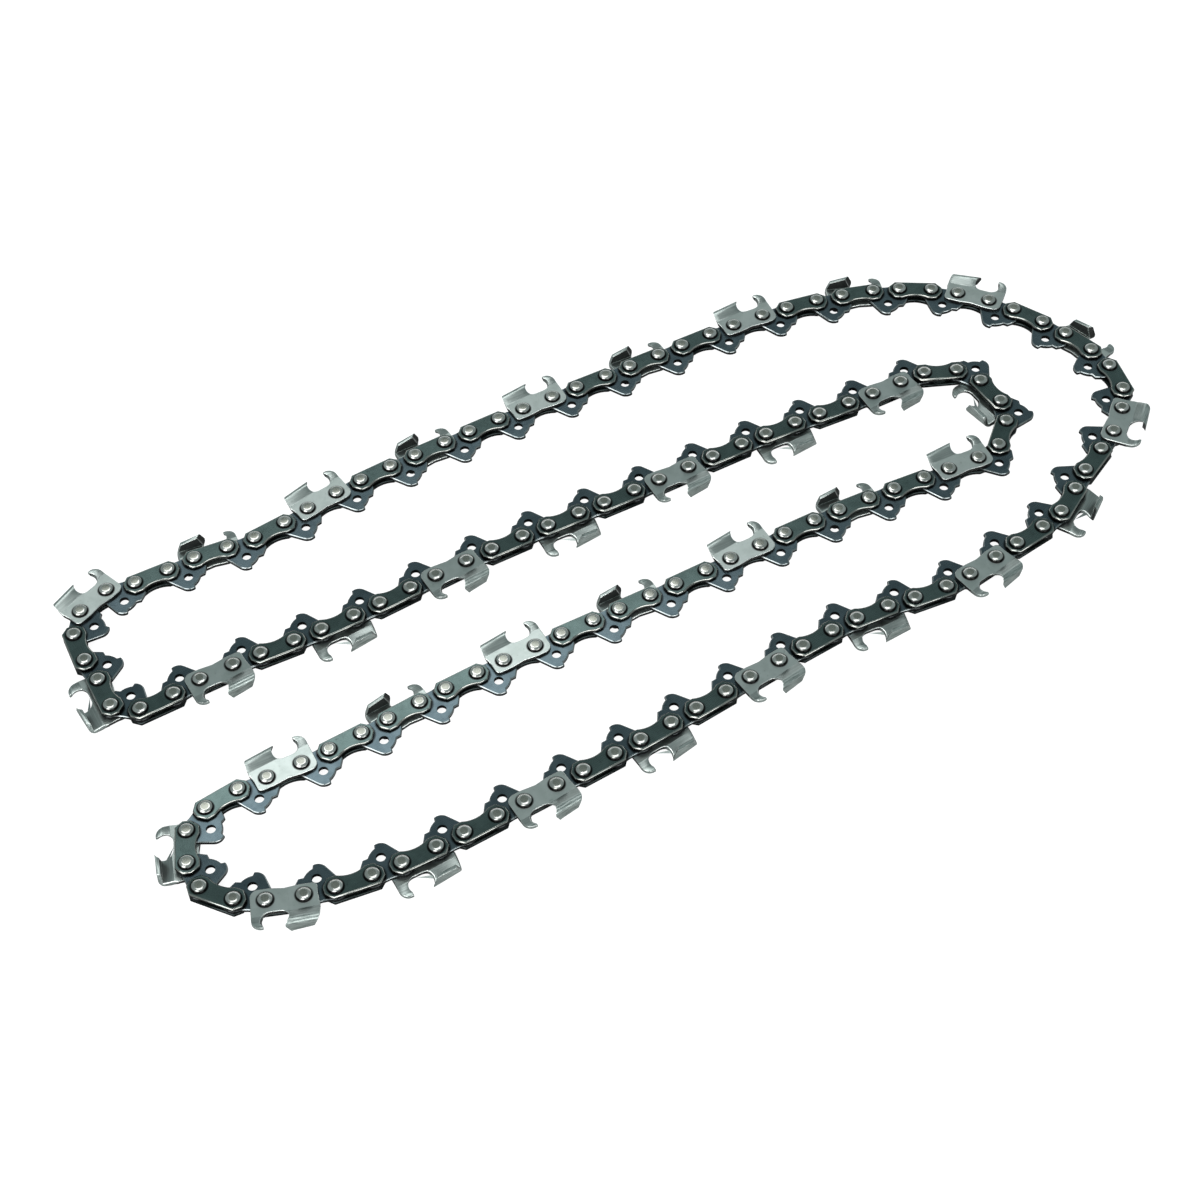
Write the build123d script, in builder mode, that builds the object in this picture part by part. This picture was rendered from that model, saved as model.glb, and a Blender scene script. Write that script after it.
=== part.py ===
"""Loop of saw chain, folded on itself and lying flat on its side.

Every link is modelled once in its own frame: X runs the way the chain cuts, Y points away from the
guide bar and Z across the chain. The links are then set out round the folded loop, rivet to rivet.
"""

import os
from cmath import phase
from math import cos, degrees, radians, sin, sqrt, tan

from build123d import *

# Chain layout
PERIODS = 18
PAIRS_PER_PERIOD = 4
RIGHT_CUTTER_PAIR = 0
LEFT_CUTTER_PAIR = 2
STRETCHES = 6
STRAP_SPACING = 10.40
DRIVE_SPACING = 8.65

# Thicknesses and running clearances
GAUGE = 1.30
PLATE_THICKNESS = 1.20
SIDE_CLEARANCE = 0.06
BEARING_CLEARANCE = 0.05
HUB_CLEARANCE = 0.03

# Rivets
RIVET_SHOULDER_DIAMETER = 4.40
RIVET_HUB_DIAMETER = 3.20
RIVET_HEAD_DIAMETER = 4.80
RIVET_HEAD_FLAT = 3.40
RIVET_HEAD_HEIGHT = 0.95

# Drive link, from the line through its rivets
DRIVE_LOBE = 3.35
DRIVE_SADDLE = 2.60
SADDLE_ANGLE = 60
TRAILING_FOOT_ANGLE = 235
TRAILING_SLOPE = -60
TRAILING_RUN = 6.10
TANG_DEPTH = 9.40
TANG_TIP_LEAD = 0.20
TANG_HOOK = 1.10
TANG_HOOK_SET = 0.30
TANG_HOLLOW = 0.30
TANG_STEP_DEPTH = 6.10
TANG_STEP_BACK = 0.90
TANG_STEP_LENGTH = 1.50
TANG_CORNER_DEPTH = 3.60
TANG_CORNER_LEAD = 2.40
FRONT_FOOT_ANGLE = -45
OIL_HOLE_DIAMETER = 2.80
OIL_HOLE_DEPTH = 4.85

# Tie strap, from its rivets
STRAP_END = 3.40
STRAP_END_FLAT = 2.40
STRAP_TOP = 3.30
STRAP_FOOT = 3.60
STRAP_WAIST = 2.50
STRAP_CORNER = 1.45
STRAP_LOBE = 1.05

# Cutter plate, from its rivets
CUTTER_REAR = 3.80
CUTTER_FRONT = 4.15
CUTTER_FOOT = 3.50
CUTTER_WAIST = 3.00
CUTTER_REAR_CORNER = 1.30
CUTTER_FRONT_CORNER = 2.40

# Cutter tooth, at its heel and at its cutting end
HEEL_OVERHANG = 4.20
HEEL_CREASE = 3.70
HEEL_HEIGHT = 8.20
HEEL_FLARE = 1.10
HEEL_REACH = 3.70
HEEL_RAKE = 13.5
HEEL_SKEW = 24.0
EDGE_LEAD = 0.30
EDGE_CREASE = 4.50
EDGE_HEIGHT = 9.00
EDGE_FLARE = 2.10
EDGE_REACH = 5.40
SHOULDER_RADIUS = 1.40

# Gullet, cut by a round file held at an angle across the chain and carried on towards the depth gauge
FILE_DIAMETER = 5.20
FILE_ANGLE = 21.0
GULLET_BACK = 3.85
GULLET_FLOOR = 4.00
GULLET_RUN = 2.30

# Depth gauge, bent outwards from the front of the cutter plate
STOP_HEIGHT = 9.00
STOP_BEND_HEIGHT = 5.00
STOP_BEND_ANGLE = 8.0
STOP_LENGTH = 3.20
STOP_ROUND = 2.70

# Route of the folded loop through the rivets, in running order
ROUTE = (
    (-154, 62), (-144.5, 65.5), (-136, 63.5), (-117, 63), (-98, 60.5), (-79.5, 62.5), (-41, 64.5), (7, 63.5),
    (45, 61.5), (83, 59), (110, 53), (136, 40), (149, 26), (158, 9), (163.5, -9), (164, -18),
    (161.5, -28), (155.5, -35), (147.5, -41), (130.5, -49), (114, -58.5), (95, -61.5), (67.5, -64), (48.5, -61),
    (10.5, -61), (-38, -64), (-84, -65), (-122.5, -64), (-141, -60), (-158, -51), (-164, -42.5), (-163.5, -34),
    (-159, -24.5), (-151, -20.5), (-132, -20.5), (-75, -19.5), (1, -21.5), (58, -23), (87.5, -26), (96, -27),
    (106.5, -28), (115, -26.5), (122.5, -19.5), (126, -11.5), (125.5, -1), (121.5, 6.5), (112, 10.5), (103.5, 11),
    (93, 11.5), (66, 14), (9, 16.5), (-48, 19), (-96, 18.5), (-124, 20.5), (-143, 20), (-153, 20),
    (-160, 25.5), (-159.5, 36), (-160, 44.5), (-159, 55),
)
ROUTE_SAMPLES = 3000

# Limits on how far the route is drawn up or let out, and how often that range is halved
LEAST_STRETCH = 0.8
MOST_STRETCH = 1.3
HALVINGS = 60

strap_inner = GAUGE / 2 + SIDE_CLEARANCE
strap_outer = strap_inner + PLATE_THICKNESS
head_top = strap_outer + RIVET_HEAD_HEIGHT
half_strap = STRAP_SPACING / 2
half_drive = DRIVE_SPACING / 2
strap_hole = RIVET_HUB_DIAMETER / 2 + HUB_CLEARANCE


def on_circle(centre_x, radius, angle):
    """Return a point on a circle about a rivet that stands on the X axis."""
    return (centre_x + radius * cos(radians(angle)), radius * sin(radians(angle)))


# Rivet, with a bearing shoulder for the drive link and a peened head over each strap
with BuildPart() as rivet:
    with BuildSketch(Plane.XZ):
        with BuildLine():
            Polyline(
                (0, -head_top),
                (RIVET_HEAD_FLAT / 2, -head_top),
                (RIVET_HEAD_DIAMETER / 2, -strap_outer),
                (RIVET_HUB_DIAMETER / 2, -strap_outer),
                (RIVET_HUB_DIAMETER / 2, -strap_inner),
                (RIVET_SHOULDER_DIAMETER / 2, -strap_inner),
                (RIVET_SHOULDER_DIAMETER / 2, strap_inner),
                (RIVET_HUB_DIAMETER / 2, strap_inner),
                (RIVET_HUB_DIAMETER / 2, strap_outer),
                (RIVET_HEAD_DIAMETER / 2, strap_outer),
                (RIVET_HEAD_FLAT / 2, head_top),
                (0, head_top),
                close=True,
            )
        make_face()
    revolve(axis=Axis.Z)

# Drive link: two rivet lobes over a hooked tang
rear_lobe_foot = on_circle(-half_drive, DRIVE_LOBE, TRAILING_FOOT_ANGLE)
rear_lobe_top = on_circle(-half_drive, DRIVE_LOBE, SADDLE_ANGLE)
front_lobe_top = on_circle(half_drive, DRIVE_LOBE, 180 - SADDLE_ANGLE)
front_lobe_foot = on_circle(half_drive, DRIVE_LOBE, FRONT_FOOT_ANGLE)
front_corner = (half_drive + TANG_CORNER_LEAD, -TANG_CORNER_DEPTH)
step_heel = (half_drive - TANG_STEP_BACK, -TANG_STEP_DEPTH)
step_toe = (step_heel[0] + TANG_STEP_LENGTH, -TANG_STEP_DEPTH)
tang_tip = (TANG_TIP_LEAD, -TANG_DEPTH)
hook_root = (TANG_TIP_LEAD + TANG_HOOK_SET, TANG_HOOK - TANG_DEPTH)
with BuildPart() as drive_link:
    with BuildSketch(Plane.XY.offset(-GAUGE / 2)):
        with BuildLine():
            CenterArc((-half_drive, 0), DRIVE_LOBE, TRAILING_FOOT_ANGLE, SADDLE_ANGLE - TRAILING_FOOT_ANGLE)
            ThreePointArc(rear_lobe_top, (0, DRIVE_SADDLE), front_lobe_top)
            CenterArc((half_drive, 0), DRIVE_LOBE, 180 - SADDLE_ANGLE, FRONT_FOOT_ANGLE + SADDLE_ANGLE - 180)
            Polyline(front_lobe_foot, front_corner, step_toe, step_heel)
            SagittaArc(step_heel, hook_root, TANG_HOLLOW)
            Line(hook_root, tang_tip)
            trailing_edge = PolarLine(rear_lobe_foot, TRAILING_RUN, TRAILING_SLOPE)
            TangentArc(trailing_edge @ 1, tang_tip, tangent=trailing_edge % 1)
        make_face()
        with Locations((-half_drive, 0), (half_drive, 0)):
            Circle(RIVET_SHOULDER_DIAMETER / 2 + BEARING_CLEARANCE, mode=Mode.SUBTRACT)
        with Locations((0, -OIL_HOLE_DEPTH)):
            Circle(OIL_HOLE_DIAMETER / 2, mode=Mode.SUBTRACT)
    extrude(amount=GAUGE)

# Tie strap: straight back, waisted foot and faceted ends
strap_tip = half_strap + STRAP_END
with BuildPart() as tie_strap:
    with BuildSketch(Plane.XY.offset(strap_inner)):
        with BuildLine():
            ThreePointArc(
                (-half_strap + STRAP_LOBE, -STRAP_FOOT),
                (0, -STRAP_WAIST),
                (half_strap - STRAP_LOBE, -STRAP_FOOT),
            )
            Polyline(
                (half_strap - STRAP_LOBE, -STRAP_FOOT),
                (half_strap + STRAP_CORNER, -STRAP_FOOT),
                (strap_tip, -STRAP_END_FLAT / 2),
                (strap_tip, STRAP_END_FLAT / 2),
                (half_strap + STRAP_CORNER, STRAP_TOP),
                (-half_strap - STRAP_CORNER, STRAP_TOP),
                (-strap_tip, STRAP_END_FLAT / 2),
                (-strap_tip, -STRAP_END_FLAT / 2),
                (-half_strap - STRAP_CORNER, -STRAP_FOOT),
                (-half_strap + STRAP_LOBE, -STRAP_FOOT),
            )
        make_face()
        with Locations((-half_strap, 0), (half_strap, 0)):
            Circle(strap_hole, mode=Mode.SUBTRACT)
    extrude(amount=PLATE_THICKNESS)

# Right-hand cutter: rivet plate, bent-out depth gauge and a flared tooth with its top plate
plate_rear = -half_strap - CUTTER_REAR
plate_front = half_strap + CUTTER_FRONT
heel_x = -half_strap - HEEL_OVERHANG
gullet_x = half_strap - GULLET_BACK
gullet_y = GULLET_FLOOR + FILE_DIAMETER / 2
plate_middle = (strap_inner + strap_outer) / 2
stop_lean = (STOP_HEIGHT - STOP_BEND_HEIGHT) * tan(radians(STOP_BEND_ANGLE))
stop_root = STOP_BEND_HEIGHT - PLATE_THICKNESS
file_tilt = radians(FILE_ANGLE)
file_plane = Plane(
    origin=(gullet_x, gullet_y, plate_middle),
    x_dir=(0, 1, 0),
    z_dir=(sin(file_tilt), 0, cos(file_tilt)),
)
heel_plane = Plane(
    origin=(heel_x, EDGE_CREASE, strap_outer),
    z_dir=(1, -tan(radians(HEEL_RAKE)), tan(radians(HEEL_SKEW))),
)
tooth_sections = (
    (heel_x, HEEL_CREASE, HEEL_HEIGHT, HEEL_FLARE, HEEL_REACH),
    (EDGE_LEAD, EDGE_CREASE, EDGE_HEIGHT, EDGE_FLARE, EDGE_REACH),
)
with BuildPart() as right_cutter:
    with BuildSketch(Plane.XY.offset(strap_inner)) as plate_sketch:
        with BuildLine():
            Polyline(
                (plate_rear, 0),
                (plate_rear, -CUTTER_FOOT),
                (-half_strap + STRAP_LOBE, -CUTTER_FOOT),
                (0, -CUTTER_WAIST),
                (half_strap - STRAP_LOBE, -CUTTER_FOOT),
                (plate_front, -CUTTER_FOOT),
                (plate_front, 0),
                (EDGE_LEAD, EDGE_CREASE),
                (heel_x, HEEL_CREASE),
                close=True,
            )
        make_face()
        with Locations((EDGE_LEAD, 0)):
            Rectangle(plate_front - EDGE_LEAD, STOP_BEND_HEIGHT, align=(Align.MIN, Align.MIN))
        low_corners = plate_sketch.vertices().group_by(Axis.Y)[0].sort_by(Axis.X)
        fillet(low_corners[0], CUTTER_REAR_CORNER)
        fillet(plate_sketch.vertices().group_by(Axis.Y)[0].sort_by(Axis.X)[-1], CUTTER_FRONT_CORNER)
    extrude(amount=PLATE_THICKNESS)
    with BuildSketch(Plane.YZ.offset(plate_front - STOP_LENGTH)):
        with BuildLine():
            Polyline(
                (stop_root, strap_inner),
                (STOP_BEND_HEIGHT, strap_inner),
                (STOP_HEIGHT, strap_inner + stop_lean),
                (STOP_HEIGHT, strap_outer + stop_lean),
                (STOP_BEND_HEIGHT, strap_outer),
                (stop_root, strap_outer),
                close=True,
            )
        make_face()
    extrude(amount=STOP_LENGTH)
    stop_corner = right_cutter.faces().sort_by(Axis.Y)[-1].edges().sort_by(Axis.X)[-1]
    fillet(stop_corner, STOP_ROUND)
    for section_x, crease, height, flare, reach in tooth_sections:
        with BuildSketch(Plane.YZ.offset(section_x)) as tooth_sketch:
            with BuildLine():
                Polyline(
                    (crease - PLATE_THICKNESS, strap_inner),
                    (crease - PLATE_THICKNESS, strap_outer),
                    (crease, strap_outer),
                    (height, strap_outer + flare),
                    (height, strap_outer + flare - reach),
                    (height - PLATE_THICKNESS, strap_outer + flare - reach),
                    (height - PLATE_THICKNESS, strap_inner + flare),
                    (crease, strap_inner),
                    close=True,
                )
            make_face()
            fillet(tooth_sketch.vertices().sort_by(Axis((0, 0, 0), (1, 1, 0)))[-1], SHOULDER_RADIUS)
    loft(ruled=True)
    with BuildSketch(file_plane):
        with Locations((0, -GULLET_RUN / 2)):
            SlotCenterToCenter(GULLET_RUN, FILE_DIAMETER, rotation=90)
    extrude(amount=FILE_DIAMETER * 2, both=True, mode=Mode.SUBTRACT)
    split(bisect_by=heel_plane, keep=Keep.TOP)
    with Locations((-half_strap, 0, strap_outer), (half_strap, 0, strap_outer)):
        Hole(strap_hole)

# Left-hand cutter, the mirror image for the other side of the chain
with BuildPart() as left_cutter:
    mirror(right_cutter.part, about=Plane.XY)

# Closed line that the rivets follow, before the loop is drawn up to length
with BuildLine() as route:
    Spline(*ROUTE, periodic=True)
route_points = [route.line @ (index / ROUTE_SAMPLES) for index in range(ROUTE_SAMPLES)]
route_line = [complex(point.X, point.Y) for point in route_points]


def walk(line, steps, scale):
    """Step round the scaled line by the given spacings.

    Returns the plan places reached and the share of the line that the steps cover.
    """
    places = [line[0] * scale]
    index = 0
    for step in steps:
        here = places[-1]
        while abs(line[(index + 1) % len(line)] * scale - here) < step:
            index += 1
        start = line[index % len(line)] * scale
        run = line[(index + 1) % len(line)] * scale - start
        back = start - here
        along = (run.conjugate() * back).real / abs(run) ** 2
        spare = (step ** 2 - abs(back) ** 2) / abs(run) ** 2
        share = sqrt(along ** 2 + spare) - along
        places.append(start + run * share)
    return places, (index + share) / len(line)


def closed_loop(line, steps):
    """Scale the line until the steps lead exactly once round it, and return the rivet places."""
    length = sum(abs(line[index] - line[index - 1]) for index in range(len(line)))
    low = LEAST_STRETCH * sum(steps) / length
    high = MOST_STRETCH * sum(steps) / length
    for _ in range(HALVINGS):
        scale = (low + high) / 2
        places, covered = walk(line, steps, scale)
        if covered > 1:
            low = scale
        else:
            high = scale
    return places[:-1]


def between(rear, front, height=0.0):
    """Return where a link lies when its two rivets stand at plan places rear and front."""
    middle = (rear + front) / 2
    return Location((middle.real, middle.imag, height), (0, 0, degrees(phase(front - rear))))


def upright(place):
    """Return where a rivet stands at a plan place."""
    return Location((place.real, place.imag, 0))


# Where each link lies, node by node
pair_count = PERIODS * PAIRS_PER_PERIOD
rivet_places = closed_loop(route_line, [STRAP_SPACING, DRIVE_SPACING] * pair_count)
nodes = {}


def set_out(node, link, *places):
    """Note that a link lies at each of the places, as part of the named node."""
    nodes.setdefault(node, (link, []))[1].extend(places)


for index in range(pair_count):
    rear, front = rivet_places[2 * index], rivet_places[2 * index + 1]
    next_rear = rivet_places[(2 * index + 2) % len(rivet_places)]
    stretch = index * STRETCHES // pair_count + 1
    period = index // PAIRS_PER_PERIOD + 1
    pair = index % PAIRS_PER_PERIOD
    set_out(f"drive_links_{stretch}", drive_link, between(front, next_rear))
    set_out(f"rivets_{stretch}", rivet, upright(rear), upright(front))
    if pair == RIGHT_CUTTER_PAIR:
        set_out(f"right_cutter_{period:02d}", right_cutter, between(rear, front))
    else:
        set_out(f"tie_straps_{stretch}", tie_strap, between(rear, front))
    if pair == LEFT_CUTTER_PAIR:
        set_out(f"left_cutter_{period:02d}", left_cutter, between(rear, front))
    else:
        set_out(f"tie_straps_{stretch}", tie_strap, between(rear, front, -strap_inner - strap_outer))

# The loop rests on its lower cutters at Z = 0, with the middle of its plan over the origin
loop = Compound([link.part.moved(place) for link, places in nodes.values() for place in places])
loop_box = loop.bounding_box()
to_origin = Location((-loop_box.center().X, -loop_box.center().Y, -loop_box.min.Z))

os.makedirs("parts", exist_ok=True)
for name, (link, places) in nodes.items():
    with BuildPart() as node:
        with Locations(*[to_origin * place for place in places]):
            add(link.part)
    node.part.label = name
    export_step(node.part, f"parts/{name}.step")
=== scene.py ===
"""Dress a loop of saw chain that lies folded on its side.

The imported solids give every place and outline. Each kind of link is lifted out of them once, gets its
edges rounded, and is set out again round the loop by Geometry Nodes with its own steel finish. The
rivets are turned afresh, with rounded heads.
"""

from __future__ import annotations

import logging
import math
import zlib
from collections.abc import Iterator, Sequence
from dataclasses import dataclass, field
from enum import Enum, IntEnum

import bmesh
import bpy
from mathutils import Matrix, Vector
from mathutils.bvhtree import BVHTree

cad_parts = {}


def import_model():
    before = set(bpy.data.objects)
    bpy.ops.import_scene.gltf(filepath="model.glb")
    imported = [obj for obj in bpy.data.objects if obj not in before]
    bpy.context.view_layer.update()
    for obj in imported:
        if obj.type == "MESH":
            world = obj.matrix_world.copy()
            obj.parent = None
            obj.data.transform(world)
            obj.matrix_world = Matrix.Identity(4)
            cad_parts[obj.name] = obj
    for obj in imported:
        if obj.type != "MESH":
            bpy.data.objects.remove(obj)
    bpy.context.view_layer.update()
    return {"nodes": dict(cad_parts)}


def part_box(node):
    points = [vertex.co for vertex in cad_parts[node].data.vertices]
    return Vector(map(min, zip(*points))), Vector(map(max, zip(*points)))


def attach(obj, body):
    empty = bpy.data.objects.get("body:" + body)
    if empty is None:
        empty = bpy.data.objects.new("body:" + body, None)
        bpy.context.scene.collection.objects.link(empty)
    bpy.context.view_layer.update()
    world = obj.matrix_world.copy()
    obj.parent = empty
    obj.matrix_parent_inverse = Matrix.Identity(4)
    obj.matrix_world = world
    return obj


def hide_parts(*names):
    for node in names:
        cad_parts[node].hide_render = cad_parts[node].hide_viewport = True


LOG = logging.getLogger("chain_loop")
MM = 0.001
BODY = "root"
STRAP_SPACING = 10.40 * MM
DRIVE_SPACING = 8.65 * MM
SEED_LIMIT = 10000

# A face whose normal has at least this much Z lies level and is shaded flat
LEVEL_NORMAL = 0.999

# Output of a Random Value node that gives a plain number
RANDOM_NUMBER = 1

# Attributes that the finishes and the tree read from a mesh
PLACE = "link_place"
WEAR = "wear"
WALL = "wall"
INSIDE = "inside"
VARY = "vary"
LEAN = "lean"
LOW = "low"
TURN = "turn"

Colour = tuple[float, float, float]
Stretch = tuple[float, float, float]
Span = tuple[float, float]


class Side(Enum):
    """Side of the chain that a link lies on, as a sign along Z."""

    UPPER = 1
    LOWER = -1


class Kind(Enum):
    """Kinds of link in the chain."""

    RIGHT_CUTTER = "right_cutter"
    LEFT_CUTTER = "left_cutter"
    DRIVE_LINK = "drive_link"
    TIE_STRAP = "tie_strap"
    RIVET = "rivet"


class MixSocket(IntEnum):
    """Numbers of a Mix node's sockets when it mixes colours."""

    SHARE = 0
    RESULT = 2
    FIRST = 6
    SECOND = 7


class Term:
    """A node's output that takes part in Python arithmetic."""

    def __init__(self, graph: Graph, socket: bpy.types.NodeSocket) -> None:
        """Keep the socket and the graph that its maths nodes go into."""
        self.graph = graph
        self.socket = socket

    def output(self, name: str) -> Term:
        """Return another output of the same node."""
        return Term(self.graph, self.socket.node.outputs[name])

    def __add__(self, other: Term | float) -> Term:
        """Add a value."""
        return self.graph.maths("ADD", self, other)

    def __radd__(self, other: float) -> Term:
        """Add to a number."""
        return self.graph.maths("ADD", other, self)

    def __sub__(self, other: Term | float) -> Term:
        """Subtract a value."""
        return self.graph.maths("SUBTRACT", self, other)

    def __rsub__(self, other: float) -> Term:
        """Subtract from a number."""
        return self.graph.maths("SUBTRACT", other, self)

    def __mul__(self, other: Term | float) -> Term:
        """Multiply by a value."""
        return self.graph.maths("MULTIPLY", self, other)

    def __rmul__(self, other: float) -> Term:
        """Multiply a number."""
        return self.graph.maths("MULTIPLY", other, self)

    def __abs__(self) -> Term:
        """Drop the sign."""
        return self.graph.maths("ABSOLUTE", self)

    def ramp(self, low: float, high: float) -> Term:
        """Rise smoothly from 0 at the low value to 1 at the high one."""
        return self.graph.node(
            "ShaderNodeMapRange",
            {"interpolation_type": "SMOOTHSTEP"},
            {"Value": self, "From Min": low, "From Max": high},
        )


class Graph:
    """A node tree that is written as Python expressions."""

    def __init__(self, tree: bpy.types.NodeTree) -> None:
        """Keep the tree and clear it."""
        self.tree = tree
        self.tree.nodes.clear()

    def node(
        self,
        kind: str,
        settings: dict[str, object] | None = None,
        inputs: dict[str | int, object] | None = None,
        output: int | str = 0,
    ) -> Term:
        """Add any node.

        Args:
            kind: the node's type.
            settings: properties that are set first.
            inputs: a value or a term for each input, by name or number.
            output: the output that is returned.

        Returns:
            The chosen output, or the first input of a node that has no outputs.
        """
        made = self.tree.nodes.new(kind)
        for name, value in (settings or {}).items():
            setattr(made, name, value)
        for name, value in (inputs or {}).items():
            self.feed(made.inputs[name], value)
        if not made.outputs:
            return Term(self, made.inputs[0])
        return Term(self, made.outputs[output])

    def feed(self, socket: bpy.types.NodeSocket, value: object) -> None:
        """Link a term to a socket, or set the socket's own value.

        Args:
            socket: the input.
            value: a term, or a number, colour or vector.
        """
        if isinstance(value, Term):
            self.tree.links.new(value.socket, socket)
        elif socket.type == "RGBA":
            socket.default_value = (*value, 1.0)
        else:
            socket.default_value = value

    def maths(self, operation: str, *values: Term | float) -> Term:
        """Add a Math node for values."""
        return self.node("ShaderNodeMath", {"operation": operation}, dict(enumerate(values)))

    def vector(self, operation: str, *values: Term | Stretch) -> Term:
        """Add a Vector Math node."""
        return self.node("ShaderNodeVectorMath", {"operation": operation}, dict(enumerate(values)))

    def mix(self, share: Term | float, first: Term | Colour, second: Term | Colour) -> Term:
        """Mix two colours by a share of the second."""
        return self.node(
            "ShaderNodeMix",
            {"data_type": "RGBA"},
            {MixSocket.SHARE: share, MixSocket.FIRST: first, MixSocket.SECOND: second},
            MixSocket.RESULT,
        )

    def attribute(self, name: str, output: str) -> Term:
        """Read an attribute of the piece's own mesh."""
        return self.node("ShaderNodeAttribute", {"attribute_name": name}, output=output)


@dataclass(frozen=True)
class Seat:
    """Where one link sits on the loop, with 1 as low for a link on the floor side."""

    centre: Vector
    turn: float
    low: float = 0.0

    def raised(self, height: float, low: float = 0.0) -> Seat:
        """Return the same seat at another height."""
        return Seat(Vector((self.centre.x, self.centre.y, height)), self.turn, low)

    def matrix(self) -> Matrix:
        """Return the link frame of this seat."""
        return Matrix.Translation(self.centre) @ Matrix.Rotation(self.turn, 4, "Z")


@dataclass
class ChainLay:
    """Places of the rivets and links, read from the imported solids."""

    nodes: dict[str, bpy.types.Object]
    strap_spacing: float = STRAP_SPACING
    drive_spacing: float = DRIVE_SPACING
    tolerance: float = 0.1 * MM
    plan_digits: int = 3
    stretches: int = 6
    periods: int = 18
    pairs_per_period: int = 4
    rivets: list[Vector] = field(init=False, default_factory=list)
    middle: float = field(init=False, default=0.0)

    def __post_init__(self) -> None:
        """Find the rivets, put them in running order, and find the chain's middle plane."""
        names = [f"rivets_{index + 1}" for index in range(self.stretches)]
        self.rivets = self._in_order([place for name in names for place in self._heads(name)])
        low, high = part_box("drive_links_1")
        self.middle = (low.z + high.z) / 2

    @property
    def pairs(self) -> int:
        """Number of strap pairs round the loop."""
        return self.periods * self.pairs_per_period

    def _heads(self, name: str) -> list[Vector]:
        """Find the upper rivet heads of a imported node.

        Args:
            name: the node.

        Returns:
            The centres of the heads in plan.
        """
        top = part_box(name)[1].z
        near_top = {
            tuple(round(value / MM, self.plan_digits) for value in vertex.co.xy)
            for vertex in self.nodes[name].data.vertices
            if vertex.co.z > top - self.tolerance
        }
        groups: list[list[Vector]] = []
        for point in (Vector(place) * MM for place in sorted(near_top)):
            group = next((g for g in groups if (g[0] - point).length < self.drive_spacing / 2), None)
            if group is None:
                groups.append([point])
            else:
                group.append(point)
        return [sum(group, Vector((0, 0))) / len(group) for group in groups]

    def _partner(self, rivets: Sequence[Vector], index: int, spacing: float) -> int:
        """Find the rivet that lies one spacing away.

        Args:
            rivets: all rivets.
            index: the rivet to start from.
            spacing: the distance between the two.

        Returns:
            The other rivet's index.
        """
        here = rivets[index]
        misses = [abs((place - here).length - spacing) for place in rivets]
        return min(range(len(rivets)), key=misses.__getitem__)

    def _walk(self, rivets: Sequence[Vector], start: int) -> list[Vector]:
        """Follow the chain once round.

        Args:
            rivets: all rivets, in any order.
            start: the rivet to start from, over its strap first.

        Returns:
            The rivets in the order in which they are met.
        """
        order = [start]
        spacings = (self.strap_spacing, self.drive_spacing)
        while len(order) < len(rivets):
            order.append(self._partner(rivets, order[-1], spacings[(len(order) - 1) % 2]))
        return [rivets[index] for index in order]

    def _in_order(self, rivets: Sequence[Vector]) -> list[Vector]:
        """Put the rivets in running order.

        Args:
            rivets: all rivets, in any order.

        Returns:
            The rivets from the first right-hand cutter towards the second.
        """
        first, second = (self._box_middle(f"right_cutter_{number:02d}") for number in (1, 2))

        def from_first(index: int) -> float:
            """Return how far the middle of a rivet's strap is from the first cutter."""
            partner = self._partner(rivets, index, self.strap_spacing)
            return ((rivets[index] + rivets[partner]) / 2 - first).length

        nearest = sorted(range(len(rivets)), key=from_first)[:2]
        ways = [self._walk(rivets, start) for start in nearest]
        ahead = 2 * self.pairs_per_period
        return min(ways, key=lambda way: ((way[ahead] + way[ahead + 1]) / 2 - second).length)

    def _box_middle(self, name: str) -> Vector:
        """Return the middle of a node's box in plan."""
        low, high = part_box(name)
        return ((low + high) / 2).xy

    def _between(self, first: int, second: int) -> Seat:
        """Find the seat between two rivets.

        Args:
            first: the rivet at the link's back.
            second: the rivet at its front.

        Returns:
            The seat, on the chain's middle plane.
        """
        start = self.rivets[first % len(self.rivets)]
        end = self.rivets[second % len(self.rivets)]
        run = end - start
        centre = (start + end) / 2
        return Seat(Vector((centre.x, centre.y, self.middle)), math.atan2(run.y, run.x))

    def pair_seat(self, pair: int) -> Seat:
        """Return the seat of a strap pair."""
        return self._between(2 * pair, 2 * pair + 1)

    def drive_seat(self, pair: int) -> Seat:
        """Return the seat of the drive link that follows a strap pair."""
        return self._between(2 * pair + 1, 2 * pair + 2)

    def rivet_seats(self, pair: int) -> list[Seat]:
        """Find the seats of two rivets.

        Args:
            pair: the strap pair's number.

        Returns:
            The seats, turned as the pair is.
        """
        turn = self.pair_seat(pair).turn
        places = self.rivets[2 * pair:2 * pair + 2]
        return [Seat(Vector((place.x, place.y, self.middle)), turn) for place in places]

    def stretch(self, number: int) -> range:
        """Return the strap pairs of one stretch of the loop."""
        length = self.pairs // self.stretches
        return range((number - 1) * length, number * length)


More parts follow.
